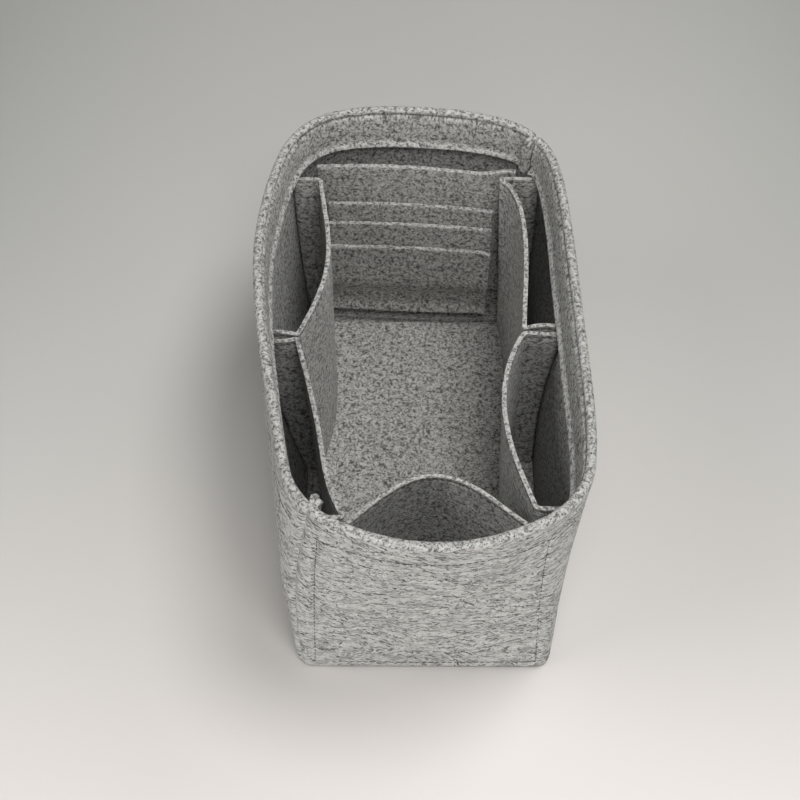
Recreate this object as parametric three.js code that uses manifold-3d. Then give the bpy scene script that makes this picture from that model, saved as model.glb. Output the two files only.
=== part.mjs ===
// A felt insert that divides the inside of a handbag.
// Two wall panels make the tub. They meet at two opposite corners, where their edges are turned in,
// and their rim is folded inwards and sewn down as a hem.
// Inside are a pleated strip along each side, which makes two pockets, a bowed front pocket,
// a card panel with three staggered card slots, a base and a floor pad.
// Millimetres, +Z up, +Y from the front towards the card panel, +X to the right seen from the front.
// The origin is the middle of the base, on its underside.

import * as THREE from 'three';
import Module from 'manifold-3d';
import { mergeVertices } from 'three/addons/utils/BufferGeometryUtils.js';

// Felt and sewing
const felt = 2.5;             // thickness of every piece
const gap = 0.3;              // between layers that lie on each other
const wallClearance = 0.5;    // between a wall and what is sewn to it
const foldReach = 2.6;        // how far a fold's rounding runs along each leg
const legShare = 0.48;        // and the most of a short leg that it takes
const footLength = 6;         // strip ends and panel ends turned along the wall they are sewn to

// Tub
const baseWidth = 126;        // outside, along X
const baseLength = 244;       // outside, along Y
const wallHeight = 134;       // underside to rim crest
const baseCornerReach = 9;    // corner rounding along each side, at the floor
const rimCornerReach = 19.5;  // corner rounding along each side, at the rim
const bottomEdge = 1.2;       // soft lower edge of the walls

// How far each side bows out at the rim
const frontBow = 26;
const rightBow = 8.7;
const backBow = 15;
const leftBow = 22.3;
const leftBowPeak = 0.38;     // share of the left side, from its back end, where its bow is deepest

// Powers of these bows: the higher, the flatter the side is along its length
const frontBowPower = 2;
const rightBowPower = 5.5;
const backBowPower = 3;
const leftBowPower = 1.6;

// How far the rim's corners stand from the base's corners, along X and Y
const frontLeftShift = new THREE.Vector2(-1.6, 5.6);
const frontRightShift = new THREE.Vector2(6.2, 7.5);
const backRightShift = new THREE.Vector2(-0.5, -1.7);
const backLeftShift = new THREE.Vector2(-1, 6.9);

// How far the walls stand out halfway up, past a straight line from the floor to the rim
const rightSwell = -4;
const leftSwell = 2;
const frontLeftSwell = new THREE.Vector2(-5, 2.5);
const frontRightSwell = new THREE.Vector2(-1, 1.5);

// Rim hem
const hemDepth = 22;          // rim crest to the hem's cut edge
const hemStitchDepth = 17;    // rim crest to the lower stitch row that holds the hem
const lipFlare = 1.6;         // how far the cut edge stands off below that row
const seamTurnIn = 5;         // corner seam edges, standing in past the hem
const seamTopDrop = 1.2;      // their top end, below the rim crest
const seamTopDraw = 2;        // how far their top end is drawn back
const seamEdgeRound = 1;      // rounding of their free edge

// Floor
const padRearGap = 20.1;      // from the back wall's inner face to the pad's back edge

// Side strips: folds are measured in from the base's wall line, at the floor and at the strip's top.
// A set-back moves a strip's rear fold towards the back wall, and a bow's peak is a share of its divider.
const rearFoldLine = 21.3;    // rear folds, in front of the back wall's inner face, at the floor
const rearFoldLean = 8.6;     // how far they lean back at the top
const pleatEye = 1.2;         // half the extra opening between the pleat's two layers
const leftStrip = {
  side: -1,
  rearFold: { floor: 7.9, top: 6.1 },
  rearSetBack: { floor: 0, top: 0 },
  pleat: { floor: 7.7, top: -3.2 },
  pleatPlace: -1.6,             // the pleat between the two pockets, along Y
  frontFold: { floor: 15.5, top: 20.9 },
  rearBow: { floor: 6.5, top: 9.8 },
  rearBowPeak: 0.56,
  frontBow: { floor: 0, top: -3 },
  frontBowPeak: 0.8,
  frontClearance: 0,            // front fold to the front pocket, past the least that the two need
};
const rightStrip = {
  side: 1,
  rearFold: { floor: 15.2, top: 21 },
  rearSetBack: { floor: 0, top: 2 },
  pleat: { floor: 13, top: 12.7 },
  pleatPlace: 3.6,
  frontFold: { floor: 14.5, top: 12.5 },
  rearBow: { floor: -2, top: -8.9 },
  rearBowPeak: 0.3,
  frontBow: { floor: 6, top: 12 },
  frontBowPeak: 0.44,
  frontClearance: 8,
};

// Front pocket
const frontPocketReach = 37.6;      // from the base's front edge to the deepest point of the arch
const frontPocketLeftInset = 13;    // its ends, from the base's corners along the front wall
const frontPocketRightInset = 10.4;
const archPower = 1.38;             // shape of the arch

// Card panel and its slots
const panelSetBack = { floor: 10.3, top: 5 };     // panel, behind the strips' rear folds
const panelBow = { floor: -1.5, top: 4 };         // backwards, in the middle
const panelTilt = { floor: 1.4, top: 4 };         // left end backwards, right end forwards
const panelCurl = { floor: 0, top: 6 };           // right end turned back behind its strip
const panelCurlStart = 0.8;   // share of the panel's width where that begins
const panelLeftOverlap = 2;   // how far each end passes its fold
const panelRightOverlap = 9;
const panelFoot = 5;          // lower edge turned forward on the base
const slotSideGap = 0.6;      // slots to the strips' folds
const slotStep = 12;          // height over which a slot climbs over the lower edge of the one behind
const slotRow = 4;            // spacing of the rows up the slots
const rearSlot = { bottom: 38, mouth: 88.5 };
const middleSlot = { bottom: 26, mouth: 77.5 };
const frontSlot = { bottom: 12.3, mouth: 63.5 };

// Smoothness
const wallLevels = 6;         // rows up the walls
const cornerSamples = 16;     // samples that round a corner
const cornerShares = [0.2, 0.45, 0.75, 1.1];    // wall sections near a corner, in corner reaches
const endSpacing = 14;        // wall sections along the front and the back
const sideSpacing = 18;       // wall sections along the sides
const foldSteps = 4;          // steps round a fold
const bowSteps = 9;           // steps along a divider
const placeSteps = 8;         // steps to find a place on a side wall
const archSteps = 20;         // steps along the front pocket
const crestSteps = 6;         // steps over the rim crest
const panelSteps = 10;        // steps across the card panel
const mergeDistance = 1e-4;   // points closer than this are one point

// Heights and lines that follow from the sizes above
const padBottom = felt + gap;
const padTop = padBottom + felt;
const stripBottom = padTop + 2 * gap;
const hemEdge = wallHeight - hemDepth;
const stripTop = hemEdge - 2 * gap;
const wallLine = { x: baseWidth / 2 - felt, y: baseLength / 2 - felt };
const perimeter = 2 * (baseWidth + baseLength);
const sewnDepth = felt + wallClearance + felt / 2;

const wasm = await Module();
wasm.setup();

const lerp = THREE.MathUtils.lerp;

// The tub's outline

// Corners of the base, with their shift at the rim and their swell: front left, front right,
// back right, back left
const straight = new THREE.Vector2();
const corners = [
  { at: new THREE.Vector2(-baseWidth / 2, -baseLength / 2), shift: frontLeftShift, swell: frontLeftSwell },
  { at: new THREE.Vector2(baseWidth / 2, -baseLength / 2), shift: frontRightShift, swell: frontRightSwell },
  { at: new THREE.Vector2(baseWidth / 2, baseLength / 2), shift: backRightShift, swell: straight },
  { at: new THREE.Vector2(-baseWidth / 2, baseLength / 2), shift: backLeftShift, swell: straight },
];

// Each side runs from its corner to the next one
const sides = [
  { length: baseWidth, bow: frontBow, peak: 0.5, power: frontBowPower, swell: 0 },
  { length: baseLength, bow: rightBow, peak: 0.5, power: rightBowPower, swell: rightSwell },
  { length: baseWidth, bow: backBow, peak: 0.5, power: backBowPower, swell: 0 },
  { length: baseLength, bow: leftBow, peak: leftBowPeak, power: leftBowPower, swell: leftSwell },
];

// Rows up the wall; between them it is straight
const levels = Array.from({ length: wallLevels }, (_, k) => (hemEdge * k) / (wallLevels - 1));
levels.push(wallHeight);
const swellCurve = (z) => Math.sin(Math.PI * (z / wallHeight));

// Share of the swell that the wall has at height z
function swellAt(z) {
  const row = Math.max(1, levels.findIndex((level) => level >= Math.min(z, wallHeight)));
  const share = (z - levels[row - 1]) / (levels[row] - levels[row - 1]);
  return lerp(swellCurve(levels[row - 1]), swellCurve(levels[row]), share);
}

// Place along a side, from 0 to 1, moved so that its peak comes to the middle
const skew = (t, peak) => t ** (Math.log(0.5) / Math.log(peak));

// Outline with sharp corners, at distance s round the base from the front left corner,
// at a share of the height and of the swell
function sharpOutline(s, rise, swell) {
  let along = ((s % perimeter) + perimeter) % perimeter;
  let k = 0;
  while (along > sides[k].length) {
    along -= sides[k].length;
    k += 1;
  }
  const side = sides[k];
  const [start, end] = [corners[k], corners[(k + 1) % 4]].map((corner) => (
    corner.at.clone().addScaledVector(corner.shift, rise).addScaledVector(corner.swell, swell)));
  const t = along / side.length;
  const bow = rise * side.bow * (1 - Math.abs(2 * skew(t, side.peak) - 1) ** side.power)
    + swell * side.swell * (1 - (2 * t - 1) ** 2);
  const outward = new THREE.Vector2(end.y - start.y, start.x - end.x).normalize();
  return start.lerp(end, t).addScaledVector(outward, bow);
}

// Outline with rounded corners: the mean of the sharp one over the corner's reach
function outline(s, z) {
  const rise = z / wallHeight;
  const swell = swellAt(z);
  const reach = lerp(baseCornerReach, rimCornerReach, rise);
  const sum = new THREE.Vector2();
  for (let k = 0; k < cornerSamples; k += 1) {
    sum.add(sharpOutline(s + reach * ((2 * k + 1) / cornerSamples - 1), rise, swell));
  }
  return sum.divideScalar(cornerSamples);
}

// Direction along the wall, and the point at a depth in from its outer face
const alongWall = (s, z) => outline(s + 1, z).sub(outline(s - 1, z)).normalize();
function wallPoint(s, z, depth) {
  const along = alongWall(s, z);
  return outline(s, z).add(new THREE.Vector2(-along.y, along.x).multiplyScalar(depth));
}

// Solids

function solidFrom(positions, triangles) {
  const geometry = new THREE.BufferGeometry();
  const coordinates = positions.flatMap((p) => p.toArray());
  geometry.setAttribute('position', new THREE.Float32BufferAttribute(coordinates, 3));
  geometry.setIndex(triangles);
  return geometry;
}

// Turns the faces outwards if they all point in
function facingOut(geometry) {
  const index = geometry.index;
  const position = geometry.attributes.position;
  const [a, b, c] = [new THREE.Vector3(), new THREE.Vector3(), new THREE.Vector3()];
  let volume = 0;
  for (let k = 0; k < index.count; k += 3) {
    a.fromBufferAttribute(position, index.getX(k));
    b.fromBufferAttribute(position, index.getX(k + 1));
    c.fromBufferAttribute(position, index.getX(k + 2));
    volume += a.dot(b.cross(c));
  }
  if (volume < 0) {
    for (let k = 0; k < index.count; k += 3) {
      const first = index.getX(k);
      index.setX(k, index.getX(k + 1));
      index.setX(k + 1, first);
    }
  }
  return geometry;
}

const quad = (a, b, c, d) => [a, b, c, a, c, d];

// A layer of felt whose middle surface is a grid of points
function feltSheet(grid) {
  const columns = grid.length;
  const rows = grid[0].length;
  const at = (i, j) => grid[Math.min(Math.max(i, 0), columns - 1)][Math.min(Math.max(j, 0), rows - 1)];
  const positions = [];
  for (const side of [0.5, -0.5]) {
    for (let i = 0; i < columns; i += 1) {
      for (let j = 0; j < rows; j += 1) {
        const across = at(i + 1, j).clone().sub(at(i - 1, j));
        const up = at(i, j + 1).clone().sub(at(i, j - 1));
        positions.push(at(i, j).clone().addScaledVector(across.cross(up).normalize(), side * felt));
      }
    }
  }
  const front = (i, j) => i * rows + j;
  const back = (i, j) => columns * rows + i * rows + j;
  const triangles = [];
  for (let i = 0; i < columns - 1; i += 1) {
    for (let j = 0; j < rows - 1; j += 1) {
      triangles.push(...quad(front(i, j), front(i + 1, j), front(i + 1, j + 1), front(i, j + 1)));
      triangles.push(...quad(back(i, j), back(i, j + 1), back(i + 1, j + 1), back(i + 1, j)));
    }
    triangles.push(...quad(front(i, 0), back(i, 0), back(i + 1, 0), front(i + 1, 0)));
    const top = rows - 1;
    triangles.push(...quad(front(i, top), front(i + 1, top), back(i + 1, top), back(i, top)));
  }
  const last = columns - 1;
  for (let j = 0; j < rows - 1; j += 1) {
    triangles.push(...quad(front(0, j), front(0, j + 1), back(0, j + 1), back(0, j)));
    triangles.push(...quad(front(last, j), back(last, j), back(last, j + 1), front(last, j + 1)));
  }
  return facingOut(solidFrom(positions, triangles));
}

// A closed profile carried through a row of sections, with a cap at each end. The caps are cut up
// band by band, so that they follow an end that is curved; a band names its points of the profile.
function loft(sections, profile, bands) {
  const count = profile.length;
  const triangles = [];
  for (let k = 0; k < sections.length - 1; k += 1) {
    for (let j = 0; j < count; j += 1) {
      const next = (j + 1) % count;
      const [a, b] = [k * count + j, k * count + next];
      triangles.push(...quad(a, b, b + count, a + count));
    }
  }
  const end = (sections.length - 1) * count;
  const clockwise = THREE.ShapeUtils.isClockWise(profile);
  for (const band of bands) {
    for (const corner of THREE.ShapeUtils.triangulateShape(band.map((k) => profile[k]), [])) {
      const face = corner.map((k) => band[k]);
      const follows = THREE.ShapeUtils.isClockWise(face.map((k) => profile[k])) === clockwise;
      const [a, b, c] = follows ? face : face.toReversed();
      triangles.push(a, c, b, end + a, end + b, end + c);
    }
  }
  return facingOut(solidFrom(sections.flat(), triangles));
}

function toManifold(geometry) {
  const plain = geometry.clone();
  plain.deleteAttribute('normal');
  plain.deleteAttribute('uv');
  const merged = mergeVertices(plain, mergeDistance);
  return new wasm.Manifold(new wasm.Mesh({
    numProp: 3,
    vertProperties: new Float32Array(merged.attributes.position.array),
    triVerts: new Uint32Array(merged.index.array),
  }));
}

function fromManifold(solid) {
  const mesh = solid.getMesh();
  const geometry = new THREE.BufferGeometry();
  geometry.setAttribute('position', new THREE.BufferAttribute(mesh.vertProperties, 3));
  geometry.setIndex(new THREE.BufferAttribute(mesh.triVerts, 1));
  return geometry;
}

// Wall panels

// Places round the base where the walls are cut into sections, close together at the corners
function wallStations(from, middleCorner, to) {
  const near = cornerShares.map((share) => share * rimCornerReach);
  const reach = near[near.length - 1];
  const stretch = (start, end, spacing) => {
    const count = Math.round((end - start) / spacing);
    return Array.from({ length: count - 1 }, (_, k) => lerp(start, end, (k + 1) / count));
  };
  return [
    from + gap / 2,
    ...near.map((d) => from + d),
    ...stretch(from + reach, middleCorner - reach, endSpacing),
    ...near.toReversed().map((d) => middleCorner - d),
    middleCorner,
    ...near.map((d) => middleCorner + d),
    ...stretch(middleCorner + reach, to - reach, sideSpacing),
    ...near.toReversed().map((d) => to - d),
    to - gap / 2,
  ];
}

// Section of a wall: depth in from the outer face against height. The felt goes up, folds in over
// the crest and comes down as the hem, whose cut edge stands off below its lower stitch row.
function wallProfile() {
  const outer = [new THREE.Vector2(bottomEdge, 0), new THREE.Vector2(0, bottomEdge)];
  for (const z of levels.slice(1, wallLevels)) {
    outer.push(new THREE.Vector2(0, z));
  }
  const crest = [];
  for (let k = 0; k <= crestSteps; k += 1) {
    const turn = Math.PI * (1 - k / crestSteps);
    crest.push(new THREE.Vector2(felt + felt * Math.cos(turn), wallHeight - felt + felt * Math.sin(turn)));
  }
  const hem = [
    new THREE.Vector2(2 * felt, wallHeight - hemStitchDepth),
    new THREE.Vector2(2 * felt + lipFlare, hemEdge + felt / 4),
    new THREE.Vector2(2 * felt + lipFlare / 2, hemEdge),
    new THREE.Vector2(felt + lipFlare, hemEdge),
    new THREE.Vector2(felt, wallHeight - hemStitchDepth),
  ];
  const inner = levels.slice(1, wallLevels).toReversed().map((z) => new THREE.Vector2(felt, z));
  inner.push(new THREE.Vector2(felt, 0));
  return [...outer, ...crest, ...hem, ...inner];
}

// The section's bands: one from each row up the wall to the next, and the rim with its hem
function wallBands(profile) {
  const count = profile.length;
  const bands = [];
  for (let row = 1; row < wallLevels; row += 1) {
    const outer = row === 1 ? [0, 1, 2] : [row, row + 1];
    bands.push([count - row, ...outer, count - row - 1]);
  }
  const rim = profile.map((_, k) => k).slice(wallLevels, count - wallLevels + 1);
  return [...bands, rim];
}

// The turned-in edge of one panel at a corner seam, on the side of the seam that the panel is on
function seamEdge(s, side) {
  const root = felt / 2;
  const rows = [
    { z: hemEdge, draw: 0 },
    { z: wallHeight - 2 * felt, draw: 0 },
    { z: wallHeight - seamTopDrop, draw: seamTopDraw },
  ];
  const profileAt = (draw) => {
    const tip = 2 * felt + seamTurnIn - draw;
    return [
      new THREE.Vector2(root, 0),
      new THREE.Vector2(tip, 0),
      new THREE.Vector2(tip, felt - seamEdgeRound),
      new THREE.Vector2(tip - seamEdgeRound, felt),
      new THREE.Vector2(root, felt),
    ];
  };
  const sections = rows.map(({ z, draw }) => profileAt(draw).map((p) => {
    const at = wallPoint(s, z, p.x).addScaledVector(alongWall(s, z), side * (gap / 2 + p.y));
    return new THREE.Vector3(at.x, at.y, z);
  }));
  const profile = profileAt(0);
  return loft(sections, profile, [profile.map((_, k) => k)]);
}

function wallPanel(from, middleCorner, to) {
  const profile = wallProfile();
  const sections = wallStations(from, middleCorner, to).map((s) => profile.map((p) => {
    const at = wallPoint(s, p.y, p.x);
    return new THREE.Vector3(at.x, at.y, p.y);
  }));
  const wall = toManifold(loft(sections, profile, wallBands(profile)));
  return fromManifold(wall.add(toManifold(seamEdge(from, 1))).add(toManifold(seamEdge(to, -1))));
}

// Side strips

// A run of felt seen from above: folds are rounded, the other stops are passed straight through
function foldedRun(stops) {
  const points = [];
  stops.forEach(({ at, fold }, k) => {
    if (!fold) {
      points.push(at);
      return;
    }
    const before = stops[k - 1].at;
    const after = stops[k + 1].at;
    const start = at.clone().lerp(before, Math.min(legShare, foldReach / at.distanceTo(before)));
    const end = at.clone().lerp(after, Math.min(legShare, foldReach / at.distanceTo(after)));
    points.push(...new THREE.QuadraticBezierCurve(start, at, end).getPoints(foldSteps));
  });
  return points;
}

// Distance round the base of a place on a side wall, and of one on the front wall
const sideStation = (side, y) => (side > 0
  ? baseWidth + baseLength / 2 + y
  : perimeter - baseLength / 2 - y);
const frontStation = (x) => baseWidth / 2 + x;

const stripShare = (z) => (z - stripBottom) / (stripTop - stripBottom);
const atHeight = (value, z) => lerp(value.floor, value.top, stripShare(z));
const rearFoldY = (z) => wallLine.y - rearFoldLine + rearFoldLean * stripShare(z);
const foldX = (strip, fold, z) => strip.side * (wallLine.x - atHeight(fold, z));

// The front pocket's arch seen from above: a point at share t of its width, at height z
const frontPocketEnd = (s, z) => wallPoint(s, z, sewnDepth);
const frontPocketStart = frontStation(-baseWidth / 2 + frontPocketLeftInset);
const frontPocketStop = frontStation(baseWidth / 2 - frontPocketRightInset);
function frontPocketPoint(t, z) {
  const point = frontPocketEnd(frontPocketStart, z).lerp(frontPocketEnd(frontPocketStop, z), t);
  const middle = frontPocketEnd(frontPocketStart, z).lerp(frontPocketEnd(frontPocketStop, z), 0.5);
  const depth = frontPocketReach - baseLength / 2 - middle.y;
  point.y += depth * Math.sin(Math.PI * t) ** archPower;
  return point;
}

// The front cross wall of a strip clears the front pocket where its fold comes closest
function frontFoldY(strip, z) {
  const start = frontPocketEnd(frontPocketStart, z).x;
  const stop = frontPocketEnd(frontPocketStop, z).x;
  const t = THREE.MathUtils.clamp((foldX(strip, strip.frontFold, z) - start) / (stop - start), 0, 1);
  const slopeAllowance = 1.45;
  return frontPocketPoint(t, z).y + slopeAllowance * (felt + gap) + strip.frontClearance;
}

// Points between two folds, bowed towards the middle of the tub
function dividerStops(strip, from, to, bow, peak) {
  return Array.from({ length: bowSteps - 1 }, (_, k) => {
    const t = (k + 1) / bowSteps;
    const at = from.clone().lerp(to, t);
    at.x -= strip.side * bow * Math.sin(Math.PI * skew(t, peak));
    return { at };
  });
}

// One strip seen from above at height z, from its rear foot to its front foot.
// A place on the wall is found by its own y, since the wall leans and bows.
function stripRun(strip, z) {
  const sewnAt = (y) => wallPoint(sideStation(strip.side, y), z, sewnDepth);
  const onWall = (y, foot = 0) => {
    let place = y;
    for (let k = 0; k < placeSteps; k += 1) {
      place += y - sewnAt(place).y;
    }
    return sewnAt(place + foot);
  };
  const pinch = (felt + gap) / 2;
  const eye = pinch + pleatEye;
  const rearY = rearFoldY(z) + atHeight(strip.rearSetBack, z);
  const frontY = frontFoldY(strip, z);
  const rear = new THREE.Vector2(foldX(strip, strip.rearFold, z), rearY);
  const pleatX = foldX(strip, strip.pleat, z);
  const pleatRear = new THREE.Vector2(pleatX, strip.pleatPlace + pinch);
  const pleatFront = new THREE.Vector2(pleatX, strip.pleatPlace - pinch);
  const front = new THREE.Vector2(foldX(strip, strip.frontFold, z), frontY);
  return foldedRun([
    { at: onWall(rearY, footLength) },
    { at: onWall(rearY), fold: true },
    { at: rear, fold: true },
    ...dividerStops(strip, rear, pleatRear, atHeight(strip.rearBow, z), strip.rearBowPeak),
    { at: pleatRear, fold: true },
    { at: onWall(strip.pleatPlace + eye), fold: true },
    { at: onWall(strip.pleatPlace - eye), fold: true },
    { at: pleatFront, fold: true },
    ...dividerStops(strip, pleatFront, front, atHeight(strip.frontBow, z), strip.frontBowPeak),
    { at: front, fold: true },
    { at: onWall(frontY), fold: true },
    { at: onWall(frontY, -footLength) },
  ]);
}

// Rows of a standing piece: the walls' own rows between its lower and upper edge
const standingRows = [stripBottom, ...levels.filter((z) => z > stripBottom && z < stripTop), stripTop];

// A piece of felt that stands on edge along a run that may change with height
function standingSheet(runAt) {
  const runs = standingRows.map((z) => runAt(z).map((p) => new THREE.Vector3(p.x, p.y, z)));
  return feltSheet(runs[0].map((_, i) => runs.map((run) => run[i])));
}

// Front pocket

function frontPocketRun(z) {
  const arch = Array.from({ length: archSteps + 1 }, (_, k) => frontPocketPoint(k / archSteps, z));
  return [
    frontPocketEnd(frontPocketStart - footLength, z),
    ...arch,
    frontPocketEnd(frontPocketStop + footLength, z),
  ];
}

// Card panel

// Middle of the panel at share t of its width, at height z; its slots don't follow the curl
function panelPoint(t, z, curled = true) {
  const left = foldX(leftStrip, leftStrip.rearFold, z) - panelLeftOverlap;
  const right = foldX(rightStrip, rightStrip.rearFold, z) + panelRightOverlap;
  const bow = atHeight(panelBow, z) * (1 - (2 * t - 1) ** 2);
  const tilt = atHeight(panelTilt, z) * (1 - 2 * t);
  const curl = curled ? atHeight(panelCurl, z) * THREE.MathUtils.smoothstep(t, panelCurlStart, 1) : 0;
  const y = rearFoldY(z) + atHeight(panelSetBack, z) + bow + tilt + curl;
  return new THREE.Vector3(lerp(left, right, t), y, z);
}

function cardPanel() {
  const grid = [];
  for (let i = 0; i <= panelSteps; i += 1) {
    const t = i / panelSteps;
    const footZ = padBottom + felt / 2;
    const heel = panelPoint(t, footZ);
    const toe = heel.clone();
    toe.y -= panelFoot;
    const heelUp = panelPoint(t, footZ + foldReach);
    const heelIn = heel.clone().lerp(toe, foldReach / panelFoot);
    const fold = new THREE.QuadraticBezierCurve3(heelIn, heel, heelUp).getPoints(foldSteps);
    const upper = standingRows.slice(1).map((z) => panelPoint(t, z));
    grid.push([toe, ...fold, ...upper]);
  }
  return feltSheet(grid);
}

// Rows that the three slots share, so that they climb over each other in step
const slotEdges = [rearSlot, middleSlot, frontSlot].flatMap((slot) => [slot.bottom, slot.mouth]);
const slotSpan = rearSlot.mouth - frontSlot.bottom;
const slotRowCount = Math.round(slotSpan / slotRow);
const slotRows = [...slotEdges];
for (let k = 0; k < slotRowCount; k += 1) {
  slotRows.push(frontSlot.bottom + slotSpan * ((k + 0.5) / slotRowCount));
}
slotRows.sort((a, b) => a - b);

// A card slot lies on the panel at its bottom and climbs over the slots behind it
function cardSlot(slot, behind) {
  const heights = slotRows.filter((z) => z >= slot.bottom && z <= slot.mouth);
  const leftFolds = standingRows.map((z) => foldX(leftStrip, leftStrip.rearFold, z));
  const rightFolds = standingRows.map((z) => foldX(rightStrip, rightStrip.rearFold, z));
  const left = Math.max(...leftFolds) + felt / 2 + slotSideGap;
  const right = Math.min(...rightFolds) - felt / 2 - slotSideGap;
  const pitch = felt + 2 * gap;
  const grid = [];
  for (let i = 0; i <= panelSteps; i += 1) {
    grid.push(heights.map((z) => {
      const [start, stop] = [panelPoint(0, z).x, panelPoint(1, z).x];
      const x = lerp(left, right, i / panelSteps);
      const point = panelPoint((x - start) / (stop - start), z, false);
      const climbed = (edge) => THREE.MathUtils.smoothstep(z, edge - slotStep, edge);
      const layers = behind.reduce((sum, lower) => sum + climbed(lower.bottom - gap), 1);
      point.y -= layers * pitch;
      return point;
    }));
  }
  return feltSheet(grid);
}

// Floor

const floorHalfWidth = wallLine.x - wallClearance;
const floorFront = wallClearance - wallLine.y;
const floorBack = wallLine.y - wallClearance;

// A flat piece with rounded corners, from the front wall to a back edge, lying at a height
function floorPiece(back, bottom) {
  const halfWidth = floorHalfWidth;
  const front = floorFront;
  const radius = baseCornerReach - felt;
  const shape = new THREE.Shape();
  shape.moveTo(-halfWidth + radius, front);
  shape.lineTo(halfWidth - radius, front);
  shape.quadraticCurveTo(halfWidth, front, halfWidth, front + radius);
  shape.lineTo(halfWidth, back - radius);
  shape.quadraticCurveTo(halfWidth, back, halfWidth - radius, back);
  shape.lineTo(-halfWidth + radius, back);
  shape.quadraticCurveTo(-halfWidth, back, -halfWidth, back - radius);
  shape.lineTo(-halfWidth, front + radius);
  shape.quadraticCurveTo(-halfWidth, front, -halfWidth + radius, front);
  const settings = { depth: felt, bevelEnabled: false, curveSegments: foldSteps };
  return new THREE.ExtrudeGeometry(shape, settings).translate(0, 0, bottom);
}

// The insert

const feltLook = (color) => new THREE.MeshStandardMaterial({ color, roughness: 0.95, metalness: 0 });
const outerFelt = 0xc6c4bf;
const innerFelt = 0xaaa9a5;

const frontRightCorner = baseWidth;
const backRightCorner = baseWidth + baseLength;
const backLeftCorner = 2 * baseWidth + baseLength;
const pieces = {
  wall_front_right: [wallPanel(0, frontRightCorner, backRightCorner), outerFelt],
  wall_left_back: [wallPanel(backRightCorner, backLeftCorner, perimeter), outerFelt],
  base_panel: [floorPiece(floorBack, 0), outerFelt],
  floor_pad: [floorPiece(wallLine.y - padRearGap, padBottom), innerFelt],
  left_pocket_strip: [standingSheet((z) => stripRun(leftStrip, z)), innerFelt],
  right_pocket_strip: [standingSheet((z) => stripRun(rightStrip, z)), innerFelt],
  front_pocket: [standingSheet(frontPocketRun), innerFelt],
  card_panel: [cardPanel(), innerFelt],
  card_slot_rear: [cardSlot(rearSlot, []), innerFelt],
  card_slot_middle: [cardSlot(middleSlot, [rearSlot]), innerFelt],
  card_slot_front: [cardSlot(frontSlot, [middleSlot, rearSlot]), innerFelt],
};

const insert = new THREE.Group();
for (const [name, [geometry, color]] of Object.entries(pieces)) {
  const mesh = new THREE.Mesh(geometry, feltLook(color));
  mesh.name = name;
  insert.add(mesh);
}

export default insert;
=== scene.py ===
import functools
import math

import bmesh
import bpy
import numpy as np
from mathutils import Matrix, Vector, noise


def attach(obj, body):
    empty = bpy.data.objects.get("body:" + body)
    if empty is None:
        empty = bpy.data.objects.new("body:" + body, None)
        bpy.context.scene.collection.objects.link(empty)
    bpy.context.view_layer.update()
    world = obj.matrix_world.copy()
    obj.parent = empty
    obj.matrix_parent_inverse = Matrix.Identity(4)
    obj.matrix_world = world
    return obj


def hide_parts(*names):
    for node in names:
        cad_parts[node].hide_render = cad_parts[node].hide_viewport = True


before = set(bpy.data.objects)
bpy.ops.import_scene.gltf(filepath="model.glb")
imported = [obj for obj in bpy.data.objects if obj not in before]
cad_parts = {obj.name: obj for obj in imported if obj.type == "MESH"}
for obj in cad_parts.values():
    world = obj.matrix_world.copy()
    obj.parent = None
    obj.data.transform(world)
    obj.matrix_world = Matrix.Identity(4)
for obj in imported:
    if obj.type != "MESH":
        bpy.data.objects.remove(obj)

mm = 0.001
scene = bpy.context.scene
scene.view_settings.view_transform = "Standard"
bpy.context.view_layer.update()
print("frame loaded with", len(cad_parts), "felt pieces")

felt = 2.5 * mm       # thickness of every piece
layerGap = 0.3 * mm   # between layers that lie on each other


# camera at the photo's viewing angle
shot = {
    "azimuth": -2.024,
    "elevation": 51.862,
    "roll": 2.062,
    "distance": 920.997 * mm,
    "target": (-12.344 * mm, -0.501 * mm, 60 * mm),
    "lens": 81,
    "sensor": 36,
}


def makeCamera():
    a, e, r = (math.radians(shot[k]) for k in ("azimuth", "elevation", "roll"))
    back = Vector((math.sin(a) * math.cos(e), -math.cos(a) * math.cos(e), math.sin(e)))
    right = (-back).cross(Vector((0, 0, 1))).normalized()
    up = right.cross(-back)
    rolledRight = right * math.cos(r) + up * math.sin(r)
    rolledUp = up * math.cos(r) - right * math.sin(r)
    data = bpy.data.cameras.new("photoCamera")
    data.lens = shot["lens"]
    data.sensor_width = shot["sensor"]
    camera = bpy.data.objects.new("photoCamera", data)
    turn = Matrix((rolledRight, rolledUp, back)).transposed().to_4x4()
    camera.matrix_world = Matrix.Translation(Vector(shot["target"]) + back * shot["distance"]) @ turn
    scene.collection.objects.link(camera)
    scene.camera = camera


makeCamera()
print("camera set")


# outline of the tub: a rectangle at the floor that bows out to a round rim
tub = {
    "width": 126 * mm,
    "length": 244 * mm,
    "height": 134 * mm,
    "bows": (26 * mm, 8.7 * mm, 15 * mm, 22.3 * mm),   # front, right, back, left
    "bowPeaks": (0.5, 0.5, 0.5, 0.38),
    "bowPowers": (2, 5.5, 3, 1.6),
    # how far each corner moves up to the rim: front left, front right, back right, back left
    "rimShifts": (
        (-1.6 * mm, 5.6 * mm),
        (6.2 * mm, 7.5 * mm),
        (-0.5 * mm, -1.7 * mm),
        (-1 * mm, 6.9 * mm),
    ),
    "midShifts": ((-5 * mm, 2.5 * mm), (-1 * mm, 1.5 * mm), (0, 0), (0, 0)),   # past straight, halfway up
    "midBows": (0, -4 * mm, 0, 2 * mm),
    "floorReach": 9 * mm,     # corner rounding along each side
    "rimReach": 19.5 * mm,
    "cornerSamples": 32,
}
sideLengths = np.array((tub["width"], tub["length"]) * 2)
sideEnds = np.cumsum(sideLengths)
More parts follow.
